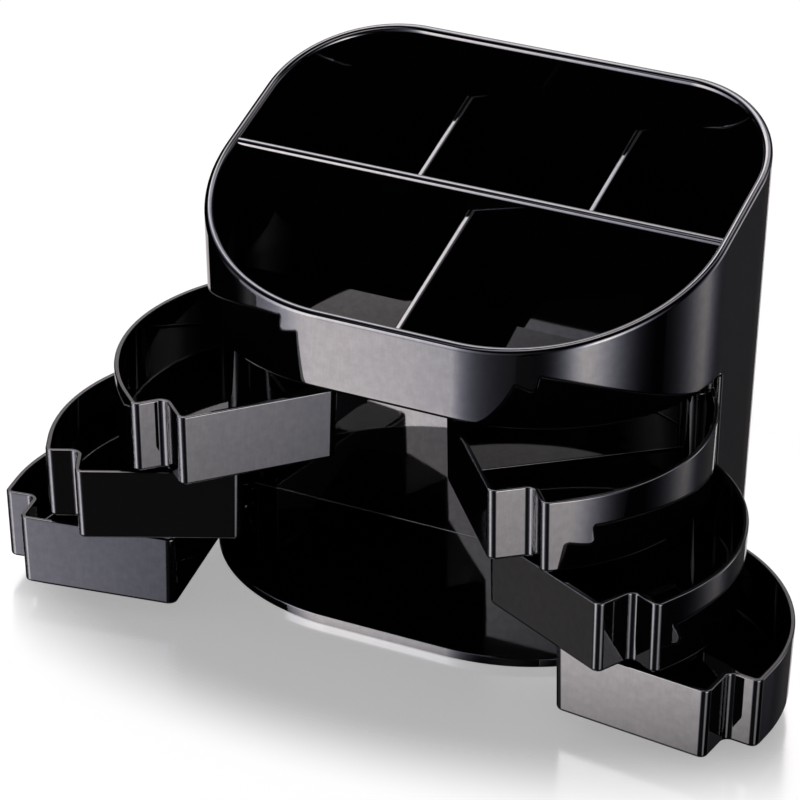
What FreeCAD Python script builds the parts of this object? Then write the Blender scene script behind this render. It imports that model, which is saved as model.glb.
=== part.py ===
import FreeCAD, Part
import math
import os

from FreeCAD import Vector

# Desk organizer with six swing-out drawers. Millimetres, +Z up, the front is -Y.
# The origin is at the middle of the underside, in the plane of the desk.

# --- Housing, measured where its outline meets the desk -------------------------------------
HOUSING_WIDTH = 170.0
HOUSING_DEPTH = 128.5
FRONT_CORNER_R = 63.3
BACK_CORNER_R = 40.0
OUTER_WALL = 2.5
WALL_DRAFT_DEG = 0.85           # the housing widens upwards, so that it leaves its mould
SKIRT_FRONT = 26.1              # height of the skirt at the middle of the front
RIM_SLOPE_DEG = 17.5            # the rim rises to the back
RIM_BEVEL = 0.45
SKIRT_EDGE_BEVEL = 0.45
CUTOUT_CORNER_R = 1.5           # where the skirt's edge turns down into the rear half

# --- Walls inside the housing -----------------------------------------------------------------
MID_WALL = 2.7
MID_WALL_Y = 0.0                # its middle, at the height of the rim beside it
MID_WALL_LEAN_DEG = 1.3
MID_WALL_DROP = 0.8             # below the rim
MID_WALL_ROUND = 0.7
TRAY_FLOOR = 2.0
DIVIDER = 2.0
DIVIDER_ROUND = 0.6
FRONT_DIVIDER_DROP = 7.5
WELL_DIVIDER_DROP = 20.5
WELL_DIVIDER_SPACING = 60.6     # between the middles of the two

# --- Base ---------------------------------------------------------------------------------------
PAD_THICKNESS = 0.5             # foam pad stuck under the plate
PAD_MARGIN = 9.0                # from the plate's edge to the pad
BASE_PLATE = 2.7
BASE_BEVEL = 0.6

# --- Hinges: one rod at each side, with three drawers on it ------------------------------------
DRAWERS_PER_SIDE = 3
ROD_DIAMETER = 3.0
ROD_FIT = 0.05                  # radial, in the base and under the tray
RUNNING_FIT = 0.08              # radial, in the drawers and spacers
ROD_SKIN = 1.0                  # left under and over the rod's blind holes
ROD_END_PLAY = 0.1
HINGE_INSET = 4.9               # from the axis to the drawer's outer faces
HINGE_BOSS_R = 4.3
BASE_BOSS = 3.6
TRAY_BOSS = 2.55
SPACER = 1.4                    # washer between the hubs of two drawers
SPACER_R = 4.0
HUB_PLAY = 0.125                # above and below each hub

# --- Drawers --------------------------------------------------------------------------------------
DRAWER_HEIGHT = 24.5
DRAWER_WALL = 1.6
DRAWER_FLOOR = 1.6
DRAWER_DRAFT_DEG = 1.1          # of the outside; the inside is upright
CENTRE_GAP = 0.7                # from a closed drawer to the middle plane
BACK_GAP = 1.9                  # from a closed drawer to the mid wall, level with the skirt's edge
NOTCH_WIDTH = 13.5              # finger notch in the inner front corner
NOTCH_DEPTH = 10.5
INNER_CORNER_R = 3.0
NOTCH_CORNER_R = 2.5
DRAWER_BOTTOM_BEVEL = 1.0
LEFT_OPEN_DEG = (80.9, 65.0, 42.6)     # how far each drawer stands open, from the bottom up
RIGHT_OPEN_DEG = (83.9, 63.3, 39.3)
LEVEL_NAMES = ("bottom", "middle", "top")
SPACER_NAMES = ("lower", "upper")

# --- Worked out from the sizes above --------------------------------------------------------------
DRAFT = math.tan(math.radians(WALL_DRAFT_DEG))
RIM_SLOPE = math.tan(math.radians(RIM_SLOPE_DEG))
LEAN = math.tan(math.radians(MID_WALL_LEAN_DEG))
DRAWER_DRAFT = math.tan(math.radians(DRAWER_DRAFT_DEG))

plate_top = PAD_THICKNESS + BASE_PLATE
drawer_pitch = DRAWER_HEIGHT + SPACER + 2 * HUB_PLAY
base_boss_top = plate_top + BASE_BOSS
first_drawer_z = base_boss_top + HUB_PLAY
tray_boss_bottom = first_drawer_z + DRAWERS_PER_SIDE * drawer_pitch - SPACER - HUB_PLAY
skirt_edge = tray_boss_bottom + TRAY_BOSS
tray_top = skirt_edge + TRAY_FLOOR
rim_front = skirt_edge + SKIRT_FRONT
front_y = -HOUSING_DEPTH / 2 - DRAFT * rim_front
rim_at_mid_wall = rim_front + RIM_SLOPE * (MID_WALL_Y - front_y)
rim_back = rim_front + RIM_SLOPE * (HOUSING_DEPTH - front_y)
BEYOND = 2 * HOUSING_WIDTH      # a length that reaches past the whole organizer


def rim_height(y):
    """Height of the slanted rim plane at depth y."""
    return rim_front + RIM_SLOPE * (y - front_y)


def mid_wall_middle(z):
    """Depth of the middle of the leaning mid wall at height z."""
    return MID_WALL_Y + LEAN * (rim_at_mid_wall - z)


def mid_wall_front(z):
    return mid_wall_middle(z) - MID_WALL / 2


def mid_wall_back(z):
    return mid_wall_middle(z) + MID_WALL / 2


# --- Small shape helpers ----------------------------------------------------------------------------
def at_height(point, z):
    return Vector(point[0], point[1], z)


def square_corner(corner, come_from, go_to, radius, z):
    """Arc that rounds a right-angled corner; the two directions point away from it."""
    start = (corner[0] + radius * come_from[0], corner[1] + radius * come_from[1])
    end = (corner[0] + radius * go_to[0], corner[1] + radius * go_to[1])
    bulge = radius * (1 - math.sqrt(0.5))
    middle = (corner[0] + bulge * (come_from[0] + go_to[0]),
              corner[1] + bulge * (come_from[1] + go_to[1]))
    return Part.Arc(at_height(start, z), at_height(middle, z), at_height(end, z))


def arc_about(centre, radius, start_deg, end_deg, z):
    """Arc about a centre, from one angle to the other."""
    points = []
    for angle in (start_deg, (start_deg + end_deg) / 2, end_deg):
        turn = math.radians(angle)
        points.append(Vector(centre[0] + radius * math.cos(turn), centre[1] + radius * math.sin(turn), z))
    return Part.Arc(*points)


def closed_wire(arcs):
    """Joins arcs, in order, by straight lines into one closed wire."""
    edges = []
    for arc, following in zip(arcs, arcs[1:] + arcs[:1]):
        edges.append(arc.toShape())
        if arc.EndPoint.distanceToPoint(following.StartPoint) > 1e-6:
            edges.append(Part.LineSegment(arc.EndPoint, following.StartPoint).toShape())
    return Part.Wire(edges)


def cylinder(radius, centre, bottom, top):
    return Part.makeCylinder(radius, top - bottom, at_height(centre, bottom))


def side_prism(outline, x_from=-BEYOND, x_to=BEYOND):
    """Solid with the given (y, z) outline, running along X."""
    points = [Vector(x_from, y, z) for y, z in outline]
    face = Part.Face(Part.makePolygon(points + points[:1]))
    return face.extrude(Vector(x_to - x_from, 0, 0))


def above_rim(drop):
    """Everything above a plane parallel to the rim and below it by drop."""
    return side_prism([(-BEYOND, rim_height(-BEYOND) - drop), (BEYOND, rim_height(BEYOND) - drop),
                       (BEYOND, 3 * BEYOND), (-BEYOND, 3 * BEYOND)])


def rounded(shape, radius, picks):
    """The shape with each edge that the test picks rounded."""
    return shape.makeFillet(radius, [edge for edge in shape.Edges if picks(edge)])


def bevelled(shape, size, picks):
    """The shape with each edge that the test picks cut off at 45 degrees."""
    return shape.makeChamfer(size, [edge for edge in shape.Edges if picks(edge)])


def rises(edge):
    """True for an edge that runs mostly upwards."""
    run = edge.Vertexes[-1].Point - edge.Vertexes[0].Point
    return abs(run.z) > run.Length / 2


def lies_at(edge, z):
    """True where an edge lies in the level plane at height z."""
    box = edge.BoundBox
    return abs(box.ZMin - z) < 1e-4 and abs(box.ZMax - z) < 1e-4


def lies_in_rim_plane(edge, drop):
    return all(abs(v.Point.z - rim_height(v.Point.y) + drop) < 1e-4 for v in edge.Vertexes)


def mirrored(shape):
    """The same piece for the left side."""
    return shape.mirror(Vector(0, 0, 0), Vector(1, 0, 0))


# --- Housing ------------------------------------------------------------------------------------------
def housing_block(bottom, top, inset=0.0):
    """Drafted block of the housing's plan between two heights, moved inwards by inset."""
    low = DRAFT * bottom - inset
    high = DRAFT * top - inset
    half_w = HOUSING_WIDTH / 2
    half_d = HOUSING_DEPTH / 2
    block = Part.makeWedge(-half_w - low, bottom, -half_d - low, -half_d - high, -half_w - high,
                           half_w + low, top, half_d + low, half_d + high, half_w + high)
    block.rotate(Vector(0, 0, 0), Vector(1, 0, 0), 90)
    block = rounded(block, FRONT_CORNER_R - inset, lambda edge: rises(edge) and edge.Vertexes[0].Point.y < 0)
    return rounded(block, BACK_CORNER_R - inset, is_sharp_back_corner)


def is_sharp_back_corner(edge):
    return rises(edge) and edge.Vertexes[0].Point.y > HOUSING_DEPTH / 4


def cavity_block():
    """The room inside the outer wall."""
    return housing_block(plate_top, rim_back, OUTER_WALL)


def in_front_of_mid_wall(bottom, top):
    return side_prism([(-BEYOND, bottom), (mid_wall_front(bottom), bottom),
                       (mid_wall_front(top), top), (-BEYOND, top)])


def behind_mid_wall(bottom, top):
    return side_prism([(mid_wall_back(bottom), bottom), (BEYOND, bottom),
                       (BEYOND, top), (mid_wall_back(top), top)])


def body_shell():
    """Outer wall: down to the base behind the mid wall, and a skirt in front of it."""
    shell = housing_block(plate_top, rim_back).cut(cavity_block())
    shell = shell.cut(in_front_of_mid_wall(0, skirt_edge)).cut(above_rim(0))
    shell = rounded(shell, CUTOUT_CORNER_R, is_cutout_corner)
    shell = bevelled(shell, SKIRT_EDGE_BEVEL, lambda edge: is_outside(edge) and lies_at(edge, skirt_edge))
    return bevelled(shell, RIM_BEVEL, lambda edge: lies_in_rim_plane(edge, 0))


def is_cutout_corner(edge):
    """Picks the two short edges across the wall, where the skirt meets the rear half."""
    on_cut = all(abs(v.Point.y - mid_wall_front(skirt_edge)) < 1e-3 for v in edge.Vertexes)
    return on_cut and lies_at(edge, skirt_edge)


def is_outside(edge):
    """True for an edge on the outer face of the housing's wall."""
    point = edge.valueAt((edge.FirstParameter + edge.LastParameter) / 2)
    return not housing_block(0, rim_back, OUTER_WALL / 2).isInside(point, 1e-3, True)


def mid_wall():
    """Leaning wall across the housing, from the base to just under the rim."""
    slab = side_prism([(mid_wall_front(plate_top), plate_top), (mid_wall_back(plate_top), plate_top),
                       (mid_wall_back(rim_back), rim_back), (mid_wall_front(rim_back), rim_back)])
    wall = slab.common(cavity_block()).cut(above_rim(MID_WALL_DROP))
    return rounded(wall, MID_WALL_ROUND, lambda edge: is_long_top_edge(edge, MID_WALL_DROP, 0))


def is_long_top_edge(edge, drop, direction):
    """Picks a straight top edge in the plane below the rim, running along X (0) or Y (1)."""
    run = edge.Vertexes[-1].Point - edge.Vertexes[0].Point
    return lies_in_rim_plane(edge, drop) and abs(run[direction]) > 0.8 * run.Length and run.Length > 5 * DIVIDER


def tray_floor():
    """Floor of the two front compartments, with a hinge boss under each end."""
    floor = cavity_block().common(in_front_of_mid_wall(skirt_edge, tray_top))
    for side in (1, -1):
        axis = (side * hinge_x, hinge_y)
        floor = floor.fuse(cylinder(HINGE_BOSS_R, axis, tray_boss_bottom, skirt_edge))
        floor = floor.cut(cylinder(ROD_DIAMETER / 2 + ROD_FIT, axis, tray_boss_bottom, tray_top - ROD_SKIN))
    return floor.removeSplitter()


def divider(middle_x, bottom, drop, room):
    """Wall along Y with a sloping rounded top, filling the room between two walls."""
    slab = Part.makeBox(DIVIDER, 2 * BEYOND, rim_back - bottom, Vector(middle_x - DIVIDER / 2, -BEYOND, bottom))
    wall = slab.common(room).common(cavity_block()).cut(above_rim(drop))
    return rounded(wall, DIVIDER_ROUND, lambda edge: is_long_top_edge(edge, drop, 1))


def front_divider():
    return divider(0, tray_top, FRONT_DIVIDER_DROP, in_front_of_mid_wall(tray_top, rim_back))


def well_divider(side):
    return divider(side * WELL_DIVIDER_SPACING / 2, plate_top, WELL_DIVIDER_DROP,
                   behind_mid_wall(plate_top, rim_back))


# --- Base --------------------------------------------------------------------------------------------------
def base_plate():
    """Thin plate under the whole housing, with the two lower hinge bosses."""
    plate = housing_block(PAD_THICKNESS, plate_top)
    plate = bevelled(plate, BASE_BEVEL, lambda edge: lies_at(edge, plate_top))
    for side in (1, -1):
        axis = (side * hinge_x, hinge_y)
        plate = plate.fuse(cylinder(HINGE_BOSS_R, axis, plate_top, base_boss_top))
        plate = plate.cut(cylinder(ROD_DIAMETER / 2 + ROD_FIT, axis, rod_bottom, base_boss_top))
    return plate.removeSplitter()


def base_pad():
    """Non-slip foam sheet under the plate."""
    return housing_block(0, PAD_THICKNESS, PAD_MARGIN)


# --- Hinges ---------------------------------------------------------------------------------------------------
# Each axis lies inside the closed drawer's outer corner, so that the corner is round about it:
# the axis is HINGE_INSET in from the drawer's back face, and from the arc of its front corner.
drawer_grow = DRAFT * skirt_edge
corner_x = HOUSING_WIDTH / 2 + drawer_grow - FRONT_CORNER_R
corner_y = -(HOUSING_DEPTH / 2 + drawer_grow - FRONT_CORNER_R)
drawer_back_y = mid_wall_front(skirt_edge) - BACK_GAP
drawer_front_y = -HOUSING_DEPTH / 2 - drawer_grow
rod_bottom = PAD_THICKNESS + ROD_SKIN
rod_top = tray_top - ROD_SKIN - ROD_END_PLAY


def hinge_centre(tilt):
    """Centre of the round corner at the hinge, where the draft has moved the faces in by tilt."""
    y = drawer_back_y - HINGE_INSET - tilt
    return corner_x - tilt + math.sqrt((FRONT_CORNER_R - HINGE_INSET) ** 2 - (y - corner_y - tilt) ** 2), y


hinge_x, hinge_y = hinge_centre(0)


def hinge_rod():
    return cylinder(ROD_DIAMETER / 2, (hinge_x, hinge_y), rod_bottom, rod_top)


def spacer(level):
    """Washer over the hub of the drawer at this level."""
    bottom = first_drawer_z + level * drawer_pitch + DRAWER_HEIGHT + HUB_PLAY
    ring = cylinder(SPACER_R, (hinge_x, hinge_y), bottom, bottom + SPACER)
    return ring.cut(cylinder(ROD_DIAMETER / 2 + RUNNING_FIT, (hinge_x, hinge_y), bottom, bottom + SPACER))


# --- Drawers ----------------------------------------------------------------------------------------------------
def drawer_outline(z, wall, tilt, hinge_end):
    """Outline of the closed right-hand drawer at height z over its underside.

    Its faces are moved inwards by wall, and by tilt for the draft. The function hinge_end gives
    the last two arcs, from the lip of the finger notch to the back.
    """
    inner_x = CENTRE_GAP + tilt + wall
    back_y = drawer_back_y - tilt - wall
    notch_x = CENTRE_GAP + NOTCH_WIDTH + tilt + wall
    notch_y = drawer_front_y + NOTCH_DEPTH + tilt + wall
    front = (corner_x - tilt, corner_y + tilt)
    lip_r = NOTCH_CORNER_R - wall
    lip, lip_turn = notch_lip(notch_x, lip_r, front, FRONT_CORNER_R - wall)
    return closed_wire([
        square_corner((inner_x, back_y), (1, 0), (0, -1), INNER_CORNER_R - wall, z),
        square_corner((inner_x, notch_y), (0, 1), (1, 0), lip_r, z),
        square_corner((notch_x, notch_y), (-1, 0), (0, -1), NOTCH_CORNER_R + wall, z),
        arc_about(lip, lip_r, 180, 360 + lip_turn, z)] + hinge_end(front, lip_turn, tilt, wall, z))


def notch_lip(notch_x, lip_r, front, front_r):
    """Centre of the round lip where the notch meets the front, and the angle at which the front goes on.

    The lip touches the straight front, or the round front corner where the notch reaches that far.
    """
    past_straight = max(0, notch_x + lip_r - front[0])
    lip_y = front[1] - math.sqrt((front_r - lip_r) ** 2 - past_straight ** 2)
    return (notch_x + lip_r, lip_y), math.degrees(math.atan2(lip_y - front[1], past_straight))


def outside_hinge_end(front, lip_turn, tilt, wall, z):
    """The round front corner, and the small round corner about the hinge."""
    hinge = hinge_centre(tilt)
    turn = math.degrees(math.atan2(hinge[1] - front[1], hinge[0] - front[0]))
    return [arc_about(front, FRONT_CORNER_R - wall, lip_turn, turn, z),
            arc_about(hinge, HINGE_INSET - wall, turn, 90, z)]


def inside_hinge_end(front, lip_turn, tilt, wall, z):
    """The round front corner as far as the hub, and then round the hub to the back."""
    front_r = FRONT_CORNER_R - wall
    apart = math.hypot(hinge_x - front[0], hinge_y - front[1])
    before_hub = math.acos((apart ** 2 + front_r ** 2 - HINGE_BOSS_R ** 2) / (2 * apart * front_r))
    meet_turn = math.atan2(hinge_y - front[1], hinge_x - front[0]) - before_hub
    meet_x = front[0] + front_r * math.cos(meet_turn)
    meet_y = front[1] + front_r * math.sin(meet_turn)
    leave = math.degrees(math.atan2(meet_y - hinge_y, meet_x - hinge_x))
    reach_back = math.degrees(math.asin((HINGE_INSET - tilt - wall) / HINGE_BOSS_R))
    return [arc_about(front, front_r, lip_turn, math.degrees(meet_turn), z),
            arc_about((hinge_x, hinge_y), HINGE_BOSS_R, leave, -180 - reach_back, z)]


def outside_outline(z, inset):
    return drawer_outline(z, inset, DRAWER_DRAFT * (DRAWER_HEIGHT - z), outside_hinge_end)


def closed_drawer():
    """Right-hand drawer in its closed place, with its underside at height 0."""
    tray = Part.makeLoft([outside_outline(0, DRAWER_BOTTOM_BEVEL), outside_outline(DRAWER_BOTTOM_BEVEL, 0),
                          outside_outline(DRAWER_HEIGHT, 0)], True, True)
    floor = Part.Face(drawer_outline(DRAWER_FLOOR, DRAWER_WALL, 0, inside_hinge_end))
    room = floor.extrude(Vector(0, 0, DRAWER_HEIGHT - DRAWER_FLOOR))
    bore = cylinder(ROD_DIAMETER / 2 + RUNNING_FIT, (hinge_x, hinge_y), 0, DRAWER_HEIGHT)
    return tray.cut(room).cut(bore)


def open_drawer(closed, level, open_deg):
    """Right-hand drawer lifted to its level and swung out about its rod."""
    drawer = closed.copy()
    drawer.translate(Vector(0, 0, first_drawer_z + level * drawer_pitch))
    drawer.rotate(Vector(hinge_x, hinge_y, 0), Vector(0, 0, 1), open_deg)
    return drawer


# --- The whole organizer --------------------------------------------------------------------------------------------
def sub_parts():
    """Every piece by its node's name."""
    parts = {"body_shell": body_shell(), "mid_wall": mid_wall(), "tray_floor": tray_floor(),
             "front_divider": front_divider(), "left_well_divider": well_divider(-1),
             "right_well_divider": well_divider(1), "base_plate": base_plate(), "base_pad": base_pad(),
             "right_hinge_rod": hinge_rod(), "left_hinge_rod": mirrored(hinge_rod())}
    for level, name in enumerate(SPACER_NAMES):
        parts[f"right_{name}_spacer"] = spacer(level)
        parts[f"left_{name}_spacer"] = mirrored(spacer(level))
    closed = closed_drawer()
    for level, name in enumerate(LEVEL_NAMES):
        parts[f"right_{name}_drawer"] = open_drawer(closed, level, RIGHT_OPEN_DEG[level])
        parts[f"left_{name}_drawer"] = mirrored(open_drawer(closed, level, LEFT_OPEN_DEG[level]))
    return parts


os.makedirs("parts", exist_ok=True)
for node, shape in sub_parts().items():
    shape.exportStep(f"parts/{node}.step")
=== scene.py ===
import functools
import math

import bmesh
import bpy
import numpy as np
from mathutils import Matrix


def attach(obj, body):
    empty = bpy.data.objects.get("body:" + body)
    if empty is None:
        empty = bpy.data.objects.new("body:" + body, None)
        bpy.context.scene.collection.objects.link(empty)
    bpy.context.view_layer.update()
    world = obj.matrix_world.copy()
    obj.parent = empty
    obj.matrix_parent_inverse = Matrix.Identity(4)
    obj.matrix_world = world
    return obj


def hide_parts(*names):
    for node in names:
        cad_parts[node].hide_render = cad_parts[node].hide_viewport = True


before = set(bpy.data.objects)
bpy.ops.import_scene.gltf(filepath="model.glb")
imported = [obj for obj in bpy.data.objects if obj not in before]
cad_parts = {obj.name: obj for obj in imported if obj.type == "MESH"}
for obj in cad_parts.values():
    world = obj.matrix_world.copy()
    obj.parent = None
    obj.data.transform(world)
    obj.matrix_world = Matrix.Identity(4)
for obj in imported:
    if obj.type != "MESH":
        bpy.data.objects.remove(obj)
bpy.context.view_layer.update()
MM = 0.001

# --- Camera ------------------------------------------------------------------------------------
CAMERA_PLACE = (416.12, -926.04, 613.94)
CAMERA_AZIMUTH = 25.49
CAMERA_ELEVATION = 28.81
CAMERA_ROLL = 0.358
CAMERA_LENS = 159.8

# --- Sizes of the organizer in millimetres, as its solids have them but for those marked "here" ---
HOUSING_HALF = np.array([85.0, 64.25])
FRONT_CORNER_R = 63.3
BACK_CORNER_R = 40.0
OUTER_WALL = 3.1                # here
DRAFT = math.tan(math.radians(0.85))
RIM_SLOPE = math.tan(math.radians(17.5))
LEAN = math.tan(math.radians(1.3))
PAD_TOP = 0.5
PLATE_TOP = 3.2
SKIRT_EDGE = 86.4
TRAY_TOP = 88.4
RIM_FRONT = 112.5
CUTOUT_CORNER_R = 1.5
MID_WALL = 2.7
MID_WALL_DROP = 0.8
MID_WALL_ROUND = 1.25           # here
MID_WALL_FOOT = 0.15            # here: hollow rounding between that wall and the base plate
MID_WALL_END = 0.988            # here: share of the half width where the wall's last narrow strip starts
BAY_BACK_Y = 1.6                # here: the mid wall's upright face behind the drawers
TRAY_LEAN = math.tan(math.radians(2.2))    # here: that wall's face in the front compartments leans back
HUB_R = 4.3
BASE_BOSS_TOP = 6.8
BORE_R = 1.58
DRAWER_HEIGHT = 24.5
DRAWER_WALL = 1.6
DRAWER_FLOOR = 1.6
DRAWER_DRAFT = math.tan(math.radians(1.1))
DRAWER_PITCH = 26.15
FIRST_DRAWER_Z = 6.925
CENTRE_GAP = 0.7
BACK_GAP = 1.9
HINGE_INSET = 4.9
NOTCH_WIDTH = 13.5
NOTCH_DEPTH = 10.5
INNER_CORNER_R = 3.0
NOTCH_CORNER_R = 2.5
OPEN_DEG = {"left": (80.9, 65.0, 42.6), "right": (83.9, 63.3, 39.3)}
LEVELS = ("bottom", "middle", "top")

# --- Roundings and lips that the scene adds --------------------------------------------------------
RIM_ROUND = 1.5
PLATE_ROUND = 0.35
PLATE_LIP = 0.1                 # height of the plate's lower edge, which hides the foam pad's edge
PLATE_LIP_WIDTH = 1.0
PLATE_LIP_BEVEL = 0.2
PLATE_SIDE_Y = (5.0, 10.0, 15.0)    # where the plate's straight sides have points
BOSS_ROOT = 1.0                 # how far a boss reaches into the plate
DRAWER_RIM_ROUND = 0.45
DRAWER_FOOT_ROUND = 1.2
DRAWER_FLOOR_ROUND = 0.8
HUB_ROUND = 0.3
SUPPORT = 3.0                   # from the shell's lower edge to its first inner row of points
STEP_UP = 0.5                   # from the skirt's edge up to the step in the mid wall's front face
FOOT_REACH = 3.0                # how far the mid wall's foot runs forward, just inside the base plate
FOOT_SINK = 0.05                # how deep the front end of that foot lies in the base plate

# --- Number of points -----------------------------------------------------------------------------
ROUND_STEPS = 4
CIRCLE_POINTS = 64
FRONT_ARC_POINTS = 65
BACK_ARC_POINTS = 49
FLAT_POINTS = 6                 # half of the flat front, and half of the flat back
CUTOUT_ARC_POINTS = 9
DROP_POINTS = 7
LEVEL_POINTS = 4
SMALL_ARC_POINTS = 9
HINGE_ARC_POINTS = 13
MID_WALL_POINTS = 11

front_y = -HOUSING_HALF[1] - DRAFT * RIM_FRONT
rim_at_mid_wall = RIM_FRONT - RIM_SLOPE * front_y
corner = HOUSING_HALF + DRAFT * SKIRT_EDGE - FRONT_CORNER_R
corner_x, corner_y = corner[0], -corner[1]
drawer_back_y = LEAN * (rim_at_mid_wall - SKIRT_EDGE) - MID_WALL / 2 - BACK_GAP
drawer_front_y = corner_y - FRONT_CORNER_R


# --- Meshes --------------------------------------------------------------------------------------
def grid_faces(rows, columns, wrap_rows=False):
    """Quads over a grid of points in row order. The last column joins the first, and so may the rows."""
    row = np.arange(rows if wrap_rows else rows - 1)[:, None]
    column = np.arange(columns)[None, :]
    next_row, next_column = (row + 1) % rows, (column + 1) % columns
    quads = np.stack([row * columns + column, row * columns + next_column,
                      next_row * columns + next_column, next_row * columns + column], axis=-1)
    return quads.reshape(-1, 4).tolist()


def ring_shape(points):
    """Closed shape whose sections are closed loops: the grid wraps both along its rows and its columns."""
    rows, columns = points.shape[:2]
    return points.reshape(-1, 3), grid_faces(rows, columns, True)


def capped_shape(points):
    """Stack of level loops, from the underside to the top, closed by one flat face at each end."""
    rows, columns = points.shape[:2]
    ends = [list(range(columns))[::-1], list(range((rows - 1) * columns, rows * columns))]
    return points.reshape(-1, 3), grid_faces(rows, columns) + ends


def joined(shapes):
    """Several shapes as one list of points and faces."""
    points, faces, count = [], [], 0
    for shape_points, shape_faces in shapes:
        points.append(shape_points)
        faces += [[index + count for index in face] for face in shape_faces]
        count += len(shape_points)
    return np.concatenate(points), faces


def rounded_corners(corners, radii):
    """Rounds a polygon section at every column at once.

    At a corner point with unit directions a and b towards its neighbours, the rounding is
    corner + r (1 - sin t) a + r (1 - cos t) b for t from 0 to 90 degrees, a quarter ellipse
    that touches both sides. A radius of 0 leaves a single point.
    """
    corners = np.asarray(corners)
    rows = []
    for index, radius in enumerate(radii):
        here = corners[index]
        if radius == 0:
            rows.append(here)
            continue
        back = corners[index - 1] - here
        ahead = corners[(index + 1) % len(corners)] - here
        back = back / np.linalg.norm(back, axis=1, keepdims=True)
        ahead = ahead / np.linalg.norm(ahead, axis=1, keepdims=True)
        for turn in np.linspace(0, math.pi / 2, ROUND_STEPS + 1):
            rows.append(here + radius * ((1 - math.sin(turn)) * back + (1 - math.cos(turn)) * ahead))
    return np.stack(rows)


def turned(profile, centre):
    """Solid of revolution about an upright axis: each (radius, height) of the profile is a circle."""
    turn = np.linspace(0, 2 * math.pi, CIRCLE_POINTS, endpoint=False)
    radius, height = np.array(profile).T
    circle = np.stack([np.cos(turn), np.sin(turn)], axis=-1)
    points = np.empty((len(profile), len(turn), 3))
    points[..., :2] = np.array(centre) + radius[:, None, None] * circle[None]
    points[..., 2] = height[:, None]
    return points


def smooth_by_area(mesh):
    """Sets each vertex's normal to the mean of its faces' normals, weighed by the square of their area.

    A broad flat face so stays flat up to the thin rounding beside it, which does all the turning.
    """
    mesh.shade_smooth()
    faces, corners = len(mesh.polygons), len(mesh.loops)
    normal, area = np.empty(faces * 3), np.empty(faces)
    size, vertex = np.empty(faces, dtype=np.int32), np.empty(corners, dtype=np.int32)
    mesh.polygons.foreach_get("normal", normal)
    mesh.polygons.foreach_get("area", area)
    mesh.polygons.foreach_get("loop_total", size)
    mesh.loops.foreach_get("vertex_index", vertex)
    pull = np.repeat(normal.reshape(-1, 3) * area[:, None] ** 2, size, axis=0)
    total = np.zeros((len(mesh.vertices), 3))
    np.add.at(total, vertex, pull)
    total /= np.linalg.norm(total, axis=1, keepdims=True)
    mesh.normals_split_custom_set_from_vertices(total.tolist())


def add_piece(name, shape, body, material, nodes):
    """Makes a smooth mesh object in metres, facing outwards, that rides on a body and stands for nodes."""
    points, faces = shape
    mesh = bpy.data.meshes.new(name)
    mesh.from_pydata((points * MM).tolist(), [], faces)
    build = bmesh.new()
    build.from_mesh(mesh)
    if build.calc_volume(signed=True) < 0:
        bmesh.ops.reverse_faces(build, faces=build.faces)
    build.to_mesh(mesh)
    build.free()
    smooth_by_area(mesh)
    mesh.materials.append(material)
    piece = bpy.data.objects.new(name, mesh)
    bpy.context.scene.collection.objects.link(piece)
    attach(piece, body)
    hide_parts(*nodes)


# --- Housing ---------------------------------------------------------------------------------------
def arc(start_deg, end_deg, count):
    """Unit vectors turned evenly from one angle to the other."""
    turn = np.radians(np.linspace(start_deg, end_deg, count))
    return np.stack([np.cos(turn), np.sin(turn)], axis=-1)


def housing_columns(side_y):
    """Half of the housing's outline, from the middle of the front to the middle of the back.

    The straight side has a point at each of the depths side_y. Gives, at height 0, the points of the
    outer face, their outward normals, and how each point drifts outwards with the draft. Corner
    circles keep their radius at every height.
    """
    front_x, back_x = HOUSING_HALF[0] - FRONT_CORNER_R, HOUSING_HALF[0] - BACK_CORNER_R
    share = np.linspace(0, 1, FLAT_POINTS)
    flat = np.ones(FLAT_POINTS)
    front_arc, back_arc = arc(-90, 0, FRONT_ARC_POINTS), arc(0, 90, BACK_ARC_POINTS)
    count = len(side_y)
    points = np.concatenate([
        np.stack([share * front_x, -flat * HOUSING_HALF[1]], axis=-1)[:-1],
        np.array([front_x, FRONT_CORNER_R - HOUSING_HALF[1]]) + FRONT_CORNER_R * front_arc,
        np.stack([np.full(count, HOUSING_HALF[0]), side_y], axis=-1),
        np.array([back_x, HOUSING_HALF[1] - BACK_CORNER_R]) + BACK_CORNER_R * back_arc,
        np.stack([share[::-1] * back_x, flat * HOUSING_HALF[1]], axis=-1)[1:]])
    normals = np.concatenate([
        np.tile([0, -1], (FLAT_POINTS - 1, 1)), front_arc, np.tile([1, 0], (count, 1)),
        back_arc, np.tile([0, 1], (FLAT_POINTS - 1, 1))])
    drift = np.concatenate([
        np.stack([share, -flat], axis=-1)[:-1], np.tile([1, -1], (FRONT_ARC_POINTS, 1)),
        np.tile([1, 0], (count, 1)), np.tile([1, 1], (BACK_ARC_POINTS, 1)),
        np.stack([share[::-1], flat], axis=-1)[1:]])
    return points, normals, drift


def both_halves(points):
    """A half ring of points from the front to the back, and its mirror image back to the front."""
    mirror = points[:, -2:0:-1] * np.array([-1, 1, 1])
    return np.concatenate([points, mirror], axis=1)


def mid_wall_front(z):
    """Depth of the solid mid wall's front face at a height, or at several."""
    return LEAN * (rim_at_mid_wall - z) - MID_WALL / 2


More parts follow.
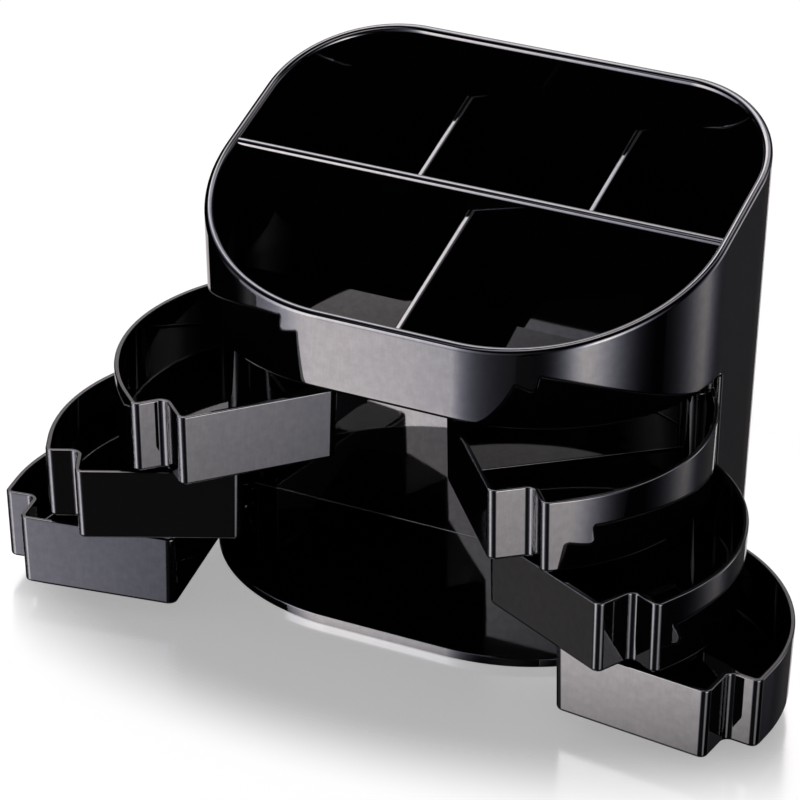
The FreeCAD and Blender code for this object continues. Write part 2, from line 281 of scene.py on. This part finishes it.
def shell_shape():
    """The housing's outer wall.

    The lower edge runs level under the skirt, turns down round the cut-out corner, drops along the
    front of the mid wall to the base plate, and goes level round the back. Each column of points
    rises from a point of that path to the slanted rim, and its section is the outer face, the rim
    and the inner face, with the corners rounded.
    """
    turn = np.linspace(0, math.pi / 2, CUTOUT_ARC_POINTS)
    drop = np.linspace(SKIRT_EDGE - CUTOUT_CORNER_R, PLATE_TOP, DROP_POINTS + 1)[1:]
    level = np.linspace(0, 1, LEVEL_POINTS + 2)[1:-1]
    back_start = HOUSING_HALF[1] - BACK_CORNER_R
    cut_y = mid_wall_front(SKIRT_EDGE)
    arc_z = SKIRT_EDGE - CUTOUT_CORNER_R * (1 - np.cos(turn))
    low_y = np.concatenate([cut_y + CUTOUT_CORNER_R * (np.sin(turn) - 1), mid_wall_front(drop),
                            mid_wall_front(PLATE_TOP) + level * (back_start - mid_wall_front(PLATE_TOP))])
    low_z = np.concatenate([arc_z, drop, np.full(LEVEL_POINTS, PLATE_TOP)])
    reach = CUTOUT_CORNER_R + SUPPORT
    next_y = np.concatenate([cut_y - CUTOUT_CORNER_R + reach * np.sin(turn), mid_wall_front(drop) + SUPPORT,
                             low_y[-LEVEL_POINTS:]])
    next_z = np.concatenate([SKIRT_EDGE - CUTOUT_CORNER_R + reach * np.cos(turn), drop[:-1],
                             np.full(LEVEL_POINTS + 1, PLATE_TOP + SUPPORT)])
    top_y = np.linspace(low_y[0], back_start, len(low_y) + 1)[:-1]
    side_start = FLAT_POINTS - 1 + FRONT_ARC_POINTS
    side = slice(side_start, side_start + len(low_y))

    def column_z(side_z, front_z):
        heights = np.full(count, side_z[-1])
        heights[:side.start] = front_z
        heights[side] = side_z
        return heights

    def wall(side_y, z, inset):
        points, normals, drift = housing_columns(side_y)
        flat = points + drift * DRAFT * z[:, None] - inset * normals
        return np.column_stack([flat, z])

    def rim(side_y, inset):
        points, normals, drift = housing_columns(side_y)
        y = points[:, 1] - inset * normals[:, 1] - front_y
        z = (RIM_FRONT + RIM_SLOPE * y) / (1 - RIM_SLOPE * DRAFT * drift[:, 1])
        return wall(side_y, z, inset)

    count = len(housing_columns(low_y)[0])
    edge_z = column_z(low_z, SKIRT_EDGE)
    support_z = column_z(next_z, SKIRT_EDGE + SUPPORT)
    section = [wall(low_y, edge_z, 0), wall(next_y, support_z, 0), rim(top_y, 0),
               rim(top_y, OUTER_WALL), wall(next_y, support_z, OUTER_WALL), wall(low_y, edge_z, OUTER_WALL)]
    rows = rounded_corners(section, (RIM_ROUND, 0, RIM_ROUND, RIM_ROUND, 0, RIM_ROUND))
    return ring_shape(both_halves(rows))


def mid_wall_shape():
    """Wall across the housing: its (y, z) section, with a rounded top, carried from side wall to side wall.

    Below the tray its front face is upright, and meets the base plate in a hollow quarter circle. In the
    front compartments that face leans back as it rises. The step between the two lies within the
    thickness of the tray floor.
    """
    top_front, top_back = -MID_WALL / 2, MID_WALL / 2
    crest = rim_at_mid_wall - MID_WALL_DROP
    foot_y = top_front - TRAY_LEAN * (crest - TRAY_TOP)
    turn = np.linspace(0, math.pi / 2, ROUND_STEPS + 1)
    foot = np.stack([BAY_BACK_Y - MID_WALL_FOOT * (1 - np.sin(turn)),
                     PLATE_TOP + MID_WALL_FOOT * (1 - np.cos(turn))], axis=-1)
    section = [(BAY_BACK_Y - FOOT_REACH, PLATE_TOP - FOOT_SINK), *foot, (BAY_BACK_Y, SKIRT_EDGE + STEP_UP),
               (foot_y, SKIRT_EDGE + STEP_UP), (foot_y, TRAY_TOP),
               (top_front, crest + RIM_SLOPE * top_front), (top_back, crest + RIM_SLOPE * top_back),
               (LEAN * (crest - PLATE_TOP) + top_back, PLATE_TOP)]
    across = np.concatenate([[-1], np.linspace(-MID_WALL_END, MID_WALL_END, MID_WALL_POINTS - 2), [1]])
    level = np.ones(MID_WALL_POINTS)
    wall_middle = HOUSING_HALF[0] - OUTER_WALL / 2
    corners = [np.stack([across * (wall_middle + DRAFT * z), y * level, z * level], axis=-1)
               for y, z in section]
    rows = rounded_corners(corners, (0,) * (len(section) - 3) + (MID_WALL_ROUND, MID_WALL_ROUND, 0))
    return capped_shape(rows.transpose(1, 0, 2))


def hub_top(height):
    """Profile of the rounded upper edge of a hub or boss."""
    return [(HUB_R, height - HUB_ROUND),
            (HUB_R - HUB_ROUND / 3, height - HUB_ROUND / 3),
            (HUB_R - HUB_ROUND, height)]


def plate_shape():
    """Base plate: the housing's outline at each height, with a quarter circle at its top edge and a low lip.

    Its two bosses start inside it.
    """
    turn = np.linspace(0, math.pi / 2, ROUND_STEPS + 1)
    inset = np.concatenate([[PLATE_LIP_WIDTH, PLATE_LIP_WIDTH, PLATE_LIP_BEVEL, 0.0],
                            PLATE_ROUND * (1 - np.cos(turn))])
    height = np.concatenate([[PAD_TOP, PLATE_LIP, PLATE_LIP, PLATE_LIP + PLATE_LIP_BEVEL],
                             PLATE_TOP - PLATE_ROUND * (1 - np.sin(turn))])
    points, normals, drift = housing_columns(np.array(PLATE_SIDE_Y))
    flat = points[None] + drift[None] * DRAFT * height[:, None, None] - inset[:, None, None] * normals[None]
    rows = np.concatenate([flat, np.broadcast_to(height[:, None, None], flat.shape[:2] + (1,))], axis=-1)
    boss = [(HUB_R, PLATE_TOP - BOSS_ROOT), *hub_top(BASE_BOSS_TOP)]
    bosses = [capped_shape(turned(boss, (side * hinge[0], hinge[1]))) for side in (1, -1)]
    return joined([capped_shape(both_halves(rows))] + bosses)


# --- Drawers -----------------------------------------------------------------------------------------
def hinge_centre(tilt):
    """Centre of the round corner at the hinge, where the draft has moved the faces in by tilt."""
    y = drawer_back_y - HINGE_INSET - tilt
    return corner_x - tilt + math.sqrt((FRONT_CORNER_R - HINGE_INSET) ** 2 - (y - corner_y - tilt) ** 2), y


hinge = hinge_centre(0)


def drawer_loop(wall, tilt):
    """Outline of the closed right-hand drawer with its faces moved inwards by wall + tilt.

    It is a chain of circular arcs that touch the straight faces between them: the inner back
    corner, the outer and the hollow corner of the finger notch, the notch's lip, the large front
    corner, and the small corner about the hinge.
    """
    inner_x = CENTRE_GAP + tilt + wall
    back_y = drawer_back_y - tilt - wall
    notch_x = CENTRE_GAP + NOTCH_WIDTH + tilt + wall
    notch_y = drawer_front_y + NOTCH_DEPTH + tilt + wall
    back_r, lip_r, hollow_r = INNER_CORNER_R - wall, NOTCH_CORNER_R - wall, NOTCH_CORNER_R + wall
    front = (corner_x - tilt, corner_y + tilt)
    hinge_corner = hinge_centre(tilt)
    meet = math.degrees(math.atan2(hinge_corner[1] - front[1], hinge_corner[0] - front[0]))
    arcs = [((inner_x + back_r, back_y - back_r), back_r, 90, 180, SMALL_ARC_POINTS),
            ((inner_x + lip_r, notch_y + lip_r), lip_r, 180, 270, SMALL_ARC_POINTS),
            ((notch_x - hollow_r, notch_y - hollow_r), hollow_r, 90, 0, SMALL_ARC_POINTS),
            ((notch_x + lip_r, drawer_front_y + tilt + wall + lip_r), lip_r, 180, 270, SMALL_ARC_POINTS),
            (front, FRONT_CORNER_R - wall, -90, meet, FRONT_ARC_POINTS),
            (hinge_corner, HINGE_INSET - wall, meet, 90, HINGE_ARC_POINTS)]
    return np.concatenate([np.array(centre) + radius * arc(start, end, count)
                           for centre, radius, start, end, count in arcs])


def drawer_profile():
    """Height, wall and tilt of each row, from the underside round the rim to the inside floor."""
    turn = np.linspace(0, math.pi / 2, ROUND_STEPS + 1)
    sine, cosine = np.sin(turn), np.cos(turn)
    outside = np.concatenate([
        np.stack([DRAWER_FOOT_ROUND * (1 - cosine), DRAWER_FOOT_ROUND * (1 - sine)], axis=-1),
        np.stack([DRAWER_HEIGHT - DRAWER_RIM_ROUND * (1 - sine), DRAWER_RIM_ROUND * (1 - cosine)], axis=-1)])
    inside = np.concatenate([
        np.stack([DRAWER_HEIGHT - DRAWER_RIM_ROUND * (1 - cosine),
                  DRAWER_WALL - DRAWER_RIM_ROUND * (1 - sine)], axis=-1),
        np.stack([DRAWER_FLOOR + DRAWER_FLOOR_ROUND * (1 - sine),
                  DRAWER_WALL + DRAWER_FLOOR_ROUND * (1 - cosine)], axis=-1)])
    return [(height, wall, DRAWER_DRAFT * (DRAWER_HEIGHT - height))
            for height, wall in np.concatenate([outside, inside])]


def drawer_shape(side, level):
    """Drawer tray and its hub, lifted to its level, swung open about the hinge, and mirrored on the left.

    The hub is a bored tube that stands in the tray's floor.
    """
    rows = []
    for height, wall, tilt in drawer_profile():
        loop = drawer_loop(wall, tilt)
        rows.append(np.column_stack([loop, np.full(len(loop), height)]))
    low, high = DRAWER_FLOOR / 2, DRAWER_HEIGHT
    hub = turned([(BORE_R, low), (HUB_R, low), *hub_top(high), (BORE_R, high)], hinge)
    points, faces = joined([capped_shape(np.stack(rows)), ring_shape(hub)])
    turn = math.radians(OPEN_DEG[side][level])
    swing = np.array([[math.cos(turn), -math.sin(turn)], [math.sin(turn), math.cos(turn)]])
    points[:, :2] = (points[:, :2] - hinge) @ swing.T + hinge
    points[:, 2] += FIRST_DRAWER_Z + level * DRAWER_PITCH
    if side == "left":
        points[:, 0] *= -1
    return points, faces


# --- Materials ----------------------------------------------------------------------------------------
MIX_SHARE, MIX_FIRST, MIX_SECOND, MIX_RESULT = 0, 6, 7, 2      # the colour sockets of the Mix node


class Socket:
    """A shader socket that works in Python expressions: every operator adds its Math node."""

    def __init__(self, tree, output):
        self.tree = tree
        self.output = output

    def math(self, operation, *terms):
        return add_node(self.tree, "ShaderNodeMath", {"operation": operation}, dict(enumerate(terms)))

    def __add__(self, other):
        return self.math("ADD", self, other)

    def __radd__(self, other):
        return self.math("ADD", other, self)

    def __sub__(self, other):
        return self.math("SUBTRACT", self, other)

    def __rsub__(self, other):
        return self.math("SUBTRACT", other, self)

    def __mul__(self, other):
        return self.math("MULTIPLY", self, other)

    def __rmul__(self, other):
        return self.math("MULTIPLY", other, self)

    def __truediv__(self, other):
        return self.math("DIVIDE", self, other)

    def __pow__(self, other):
        return self.math("POWER", self, other)


def add_node(tree, kind, settings=None, inputs=None, output=0):
    """Adds a node: its settings first, then the values or links of its sockets. Gives one output."""
    node = tree.nodes.new(kind)
    for name, value in (settings or {}).items():
        setattr(node, name, value)
    for name, value in (inputs or {}).items():
        if isinstance(value, Socket):
            tree.links.new(value.output, node.inputs[name])
        else:
            node.inputs[name].default_value = value
    return Socket(tree, node.outputs[output])


def new_material(name):
    """An empty node material, and a function that adds nodes to it."""
    material = bpy.data.materials.new(name)
    material.use_nodes = True
    tree = material.node_tree
    tree.nodes.clear()
    return material, functools.partial(add_node, tree)


def mixed_colour(add, share, first, second):
    """The first colour, the second, or a mix of them by share."""
    return add("ShaderNodeMix", {"data_type": "RGBA"},
               {MIX_SHARE: share, MIX_FIRST: first, MIX_SECOND: second}, MIX_RESULT)


def faded(add, value, start, end):
    """Rises smoothly from 0, where value is start, to 1, where it is end."""
    return add("ShaderNodeMapRange", {"interpolation_type": "SMOOTHSTEP"},
               {"Value": value, "From Min": start, "From Max": end})


def surface_output(material, surface):
    """Ends the material in its surface shader, and gives it back."""
    node = material.node_tree.nodes.new("ShaderNodeOutputMaterial")
    material.node_tree.links.new(surface.output, node.inputs["Surface"])
    return material


def gloss_black(name):
    """Polished black plastic: moulding ripple, mottled skin, rubbing marks, smears and a little dust."""
    material, add = new_material(name)
    place = add("ShaderNodeTexCoord", None, None, "Object")
    smear = add("ShaderNodeTexNoise", None, {
        "Vector": place, "Scale": 55.0, "Detail": 3.0, "Distortion": 0.6})
    mottle = add("ShaderNodeTexNoise", None, {
        "Vector": place, "Scale": 420.0, "Detail": 3.0, "Roughness": 0.6})
    fine = add("ShaderNodeTexNoise", None, {"Vector": place, "Scale": 2200.0, "Detail": 2.0})
    ripple = add("ShaderNodeTexNoise", None, {"Vector": place, "Scale": 38.0, "Detail": 1.0})
    turned_place = add("ShaderNodeMapping", None, {
        "Vector": place, "Rotation": (0.4, 0.3, 0.7), "Scale": (2600.0, 160.0, 160.0)})
    rubbing = add("ShaderNodeTexNoise", None, {"Vector": turned_place, "Scale": 1.0, "Detail": 2.0})
    dust = add("ShaderNodeTexVoronoi", None, {"Vector": place, "Scale": 330.0}, "Distance")
    speck = (0.045 - dust) * 60.0 * smear
    speck = speck.math("MINIMUM", speck.math("MAXIMUM", speck, 0.0), 1.0)
    colour = mixed_colour(add, speck * 0.5, (0.0006, 0.0006, 0.0008, 1), (0.12, 0.12, 0.125, 1))
    roughness = 0.008 + 0.03 * smear + 0.012 * fine + 0.2 * speck
    height = ripple + 0.05 * mottle + 0.012 * rubbing + 0.012 * fine
    bump = add("ShaderNodeBump", None, {"Height": height, "Strength": 0.02, "Distance": 0.001})
    skin = mottle * 0.5 + rubbing * 0.25 + fine * 0.25
    surface = add("ShaderNodeBsdfPrincipled", None, {
        "Base Color": colour, "Roughness": roughness, "Normal": bump,
        "Coat Weight": 0.9 * skin.math("MAXIMUM", skin - 0.4, 0.0), "Coat Roughness": 0.03})
    return surface_output(material, surface)


def brushed_steel():
    """Drawn steel rod: fine rings of roughness round its axis."""
    material, add = new_material("drawn steel")
    place = add("ShaderNodeTexCoord", None, None, "Object")
    stretched = add("ShaderNodeMapping", None, {"Vector": place, "Scale": (200.0, 200.0, 4000.0)})
    rings = add("ShaderNodeTexNoise", None, {"Vector": stretched, "Scale": 1.0, "Detail": 3.0})
    surface = add("ShaderNodeBsdfPrincipled", None, {
        "Base Color": (0.45, 0.45, 0.46, 1), "Metallic": 1.0, "Roughness": 0.2 + 0.2 * rings})
    return surface_output(material, surface)


def dull_plastic(name, colour, grain):
    """Unpolished plastic or foam with a fine grain."""
    material, add = new_material(name)
    place = add("ShaderNodeTexCoord", None, None, "Object")
    speck = add("ShaderNodeTexNoise", None, {"Vector": place, "Scale": grain, "Detail": 4.0})
    bump = add("ShaderNodeBump", None, {"Height": speck, "Strength": 0.3, "Distance": 0.0002})
    surface = add("ShaderNodeBsdfPrincipled", None, {
        "Base Color": colour, "Roughness": 0.5 + 0.25 * speck, "Normal": bump})
    return surface_output(material, surface)


# --- The object -------------------------------------------------------------------------------------------
black = gloss_black("polished black plastic")
add_piece("shell", shell_shape(), "organizer", black, ["body_shell"])
add_piece("partition", mid_wall_shape(), "organizer", black, ["mid_wall"])
add_piece("plate", plate_shape(), "organizer", black, ["base_plate"])
for side in OPEN_DEG:
    for index, level in enumerate(LEVELS):
        node = f"{side}_{level}_drawer"
        add_piece(f"{side}_{level}_tray", drawer_shape(side, index), node, black, [node])

NODE_MATERIALS = {
    black: ["tray_floor", "front_divider", "left_well_divider", "right_well_divider"],
    brushed_steel(): ["right_hinge_rod", "left_hinge_rod"],
    dull_plastic("grey washer plastic", (0.02, 0.02, 0.021, 1), 3000.0):
        [f"{side}_{level}_spacer" for side in OPEN_DEG for level in ("lower", "upper")],
    dull_plastic("black foam", (0.008, 0.008, 0.008, 1), 1800.0): ["base_pad"]}
for material, nodes in NODE_MATERIALS.items():
    for node in nodes:
        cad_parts[node].material_slots[0].material = material


# --- Floor, light and camera ------------------------------------------------------------------------------
QUAD = [(0, 1, 2, 3)]
FLOOR_HALF = 6
# Near the organizer the floor's self-lit sheet is dimmed on a fixed oval: a painted shadow.
FLOOR_NEAR, FLOOR_FAR = 0.108, 0.152
FLOOR_OVAL = (0.7, 1.05, 1)
SHEET_LIGHT = 0.83              # of the sheet far from the organizer
SHEET_DIMMING = 0.15            # of the sheet near it
GLASS_SHARE = 0.45              # of the glass near it
DARK_TOP_DROP = 0.001           # from the floor to the dark table top under it
DARK_TOP_MIRROR = 0.53
FLAGS_RADIUS, FLAGS_THICKNESS = 3.0, 0.1
FLAGS_FOOT_DEG, FLAGS_TOP_DEG = -5, 89      # elevation of the dome's lower edge and of the hole at its top
FLAGS_POINTS = 24
CLOTH_EDGE_TINT = (0.93, 0.94, 1.2, 1)
CLOTH_MIDDLE_TINT = (1.04, 0.975, 1.0, 1)
SENSOR_WIDTH = 36.0


def direction(azimuth, elevation):
    """Unit vector from the object: azimuth 0 is -Y, and 90 is +X."""
    turn, rise = math.radians(azimuth), math.radians(elevation)
    return np.array([math.sin(turn) * math.cos(rise), -math.cos(turn) * math.cos(rise), math.sin(rise)])


def place_object(thing, place, forward, roll_deg=0.0):
    """Puts a camera or lamp so that it looks along forward, turned by roll about it."""
    right = np.cross(forward, (0, 0, 1))
    right /= np.linalg.norm(right)
    up = np.cross(right, forward)
    roll = math.radians(roll_deg)
    rolled_right = math.cos(roll) * right + math.sin(roll) * up
    rolled_up = -math.sin(roll) * right + math.cos(roll) * up
    matrix = np.eye(4)
    matrix[:3, 0], matrix[:3, 1], matrix[:3, 2], matrix[:3, 3] = rolled_right, rolled_up, -forward, place
    thing.matrix_world = matrix.T.tolist()
    bpy.context.scene.collection.objects.link(thing)


def stage_mesh(name, points, faces, material, *hidden_from):
    """Something of the studio, not of the object, that the named kinds of ray pass through."""
    mesh = bpy.data.meshes.new(name)
    mesh.from_pydata(points, [], faces)
    mesh.materials.append(material)
    thing = bpy.data.objects.new(name, mesh)
    for ray in hidden_from:
        setattr(thing, "visible_" + ray, False)
    return thing


def softbox(name, azimuth, elevation, distance, lift, size, spread, level, fade, fall, cut=1.0):
    """Lit cloth of a softbox or a white card, square to the line of sight from a point above the floor.

    Only glossy rays meet it, so it shows in glossy surfaces alone. It adds its own light and hides
    nothing, so that one box doesn't stand in the way of another.

    Across its width the brightness falls as (1 + (x / w)^2 / fade) ^ -fade, with a width w of its own
    on each side, the one of lower azimuth first. At its bottom and top it fades out over the given
    shares of its height, and it is cut off at the share cut of its height.
    """
    width, height = size
    material, add = new_material(name)
    place = add("ShaderNodeTexCoord", None, None, "Object")
    across = -1.0 * add("ShaderNodeSeparateXYZ", None, {"Vector": place}, "X")
    up = add("ShaderNodeSeparateXYZ", None, {"Vector": place}, "Y")
    reach = across.math("MAXIMUM", across, 0.0) / spread[1] - across.math("MINIMUM", across, 0.0) / spread[0]
    lobe = (1.0 + reach * reach / fade) ** -fade
    bright = level * lobe
    for share, end in zip((0.5 + up / height, 0.5 - up / height), fall):
        bright = bright * faded(add, share, 0.0, end)
    tint = mixed_colour(add, lobe, CLOTH_EDGE_TINT, CLOTH_MIDDLE_TINT)
    glow = add("ShaderNodeEmission", None, {"Color": tint, "Strength": bright})
    glow = add("ShaderNodeAddShader", None, {0: glow, 1: add("ShaderNodeBsdfTransparent")})
    side, bottom, top = width / 2, -height / 2, height * (cut - 0.5)
    corners = [(-side, bottom, 0), (side, bottom, 0), (side, top, 0), (-side, top, 0)]
    box = stage_mesh(name, corners, QUAD, surface_output(material, glow), "camera", "diffuse", "shadow")
    outward = direction(azimuth, elevation)
    place_object(box, np.array([0, 0, lift]) + outward * distance, outward)


softbox("left front softbox", azimuth=-27.5, elevation=0, distance=1.6, lift=0.63, size=(2.8, 1.26),
        spread=(0.62, 0.22), level=16.0, fade=1.3, fall=(0.02, 0.22))
softbox("right softbox", azimuth=52, elevation=0, distance=0.9, lift=0.41, size=(1.6, 0.82),
        spread=(0.145, 0.255), level=30.0, fade=5.5, fall=(0.02, 1.27), cut=0.7)
softbox("far right softbox", azimuth=132, elevation=0, distance=1.0, lift=0.405, size=(1.2, 0.81),
        spread=(0.24, 0.14), level=6.0, fade=2.7, fall=(0.02, 1.26))
softbox("left fill card", azimuth=-73, elevation=0, distance=1.2, lift=0.6, size=(1.0, 1.0),
        spread=(0.12, 0.25), level=0.6, fade=6.0, fall=(0.3, 0.25))
softbox("front fill card", azimuth=15, elevation=0, distance=1.4, lift=0.8, size=(1.2, 0.9),
        spread=(0.35, 0.3), level=0.15, fade=6.0, fall=(0.2, 0.2))
softbox("right fill card", azimuth=166, elevation=0, distance=1.4, lift=0.65, size=(1.2, 1.2),
        spread=(0.5, 0.5), level=0.12, fade=6.0, fall=(0.05, 0.2))
softbox("overhead softbox", azimuth=-118, elevation=58, distance=1.2, lift=0.06, size=(1.6, 0.9),
        spread=(0.5, 0.17), level=12.0, fade=4.0, fall=(0.12, 0.25))
softbox("ceiling softbox", azimuth=45, elevation=78, distance=0.45, lift=0.06, size=(0.8, 0.13),
        spread=(0.2, 0.2), level=6.5, fade=4.0, fall=(0.25, 0.15))
softbox("overhead softbox behind", azimuth=158, elevation=54, distance=1.2, lift=0.06, size=(0.8, 0.55),
        spread=(0.3, 0.3), level=5.0, fade=6.0, fall=(0.25, 0.3))
softbox("white card behind", azimuth=-154.5, elevation=0, distance=1.5, lift=0.9, size=(1.4, 1.1),
        spread=(9.0, 9.0), level=1.24, fade=2.0, fall=(0.02, 0.02))

world = bpy.data.worlds.new("studio")
bpy.context.scene.world = world
world.use_nodes = True
sky = world.node_tree
sky.nodes.clear()
back = add_node(sky, "ShaderNodeBackground", None, {"Color": (1, 1, 1, 1), "Strength": 1.0})
sky.links.new(back.output, sky.nodes.new("ShaderNodeOutputWorld").inputs["Surface"])


def table_top():
    """Self-lit white sheet under glass. Near the organizer the sheet is dimmer and the glass mirrors it.

    The share near is 1 within FLOOR_NEAR of the middle and 0 beyond FLOOR_FAR, measured on an oval, and
    falls smoothly between them. It stands in for the organizer's shadow, and doesn't follow the drawers.
    """
    material, add = new_material("white table top")
    place = add("ShaderNodeTexCoord", None, None, "Object")
    grain = add("ShaderNodeTexNoise", None, {"Vector": place, "Scale": 60.0, "Detail": 2.0})
    oval = add("ShaderNodeMapping", None, {"Vector": place, "Scale": FLOOR_OVAL})
    distance = add("ShaderNodeVectorMath", {"operation": "LENGTH"}, {0: oval}, "Value")
    near = faded(add, distance, FLOOR_FAR, FLOOR_NEAR)
    white = add("ShaderNodeBsdfDiffuse", None, {"Color": (0.2, 0.2, 0.2, 1)})
    # Painted shadow: the sheet glows less on the oval near the organizer.
    strength = SHEET_LIGHT - SHEET_DIMMING * near
    lit = add("ShaderNodeEmission", None, {"Color": (1, 1, 1, 1), "Strength": strength})
    sheet = add("ShaderNodeAddShader", None, {0: white, 1: lit})
    glass = add("ShaderNodeBsdfAnisotropic", None, {"Color": (1, 1, 1, 1), "Roughness": 0.16 + 0.05 * grain})
    top = add("ShaderNodeMixShader", None, {"Fac": GLASS_SHARE * near, 1: sheet, 2: glass})
    return surface_output(material, top)


def plain_surface(name, kind, inputs):
    """Material made of one shader."""
    material, add = new_material(name)
    return surface_output(material, add(kind, None, inputs))


def floor_square(height):
    """Corners of the floor's square, at a height."""
    half = FLOOR_HALF
    return [(-half, -half, height), (half, -half, height), (half, half, height), (-half, half, height)]


link = bpy.context.scene.collection.objects.link
link(stage_mesh("floor", floor_square(0), QUAD, table_top(), "glossy", "shadow"))

# Glossy rays don't meet the white floor and world, but this dark table top and these black flags.
mirror = (DARK_TOP_MIRROR, DARK_TOP_MIRROR, DARK_TOP_MIRROR, 1)
dark_glass = plain_surface("dark glass", "ShaderNodeBsdfAnisotropic", {"Color": mirror, "Roughness": 0.0})
link(stage_mesh("dark table top", floor_square(-DARK_TOP_DROP), QUAD, dark_glass,
                "camera", "diffuse", "shadow"))
dome = arc(FLAGS_FOOT_DEG, FLAGS_TOP_DEG, FLAGS_POINTS)
dome_section = np.concatenate([FLAGS_RADIUS * dome, (FLAGS_RADIUS + FLAGS_THICKNESS) * dome[::-1]])
dome_points, dome_faces = ring_shape(turned(dome_section, (0, 0)))
black_cloth = plain_surface("black cloth", "ShaderNodeBsdfDiffuse", {"Color": (0, 0, 0, 1)})
link(stage_mesh("black flags", dome_points.tolist(), dome_faces, black_cloth, "camera", "diffuse", "shadow"))

camera_data = bpy.data.cameras.new("camera")
camera_data.lens = CAMERA_LENS
camera_data.sensor_width = SENSOR_WIDTH
camera = bpy.data.objects.new("camera", camera_data)
place_object(camera, np.array(CAMERA_PLACE) * MM, -direction(CAMERA_AZIMUTH, CAMERA_ELEVATION), CAMERA_ROLL)
bpy.context.scene.camera = camera
bpy.context.scene.view_settings.view_transform = "Standard"
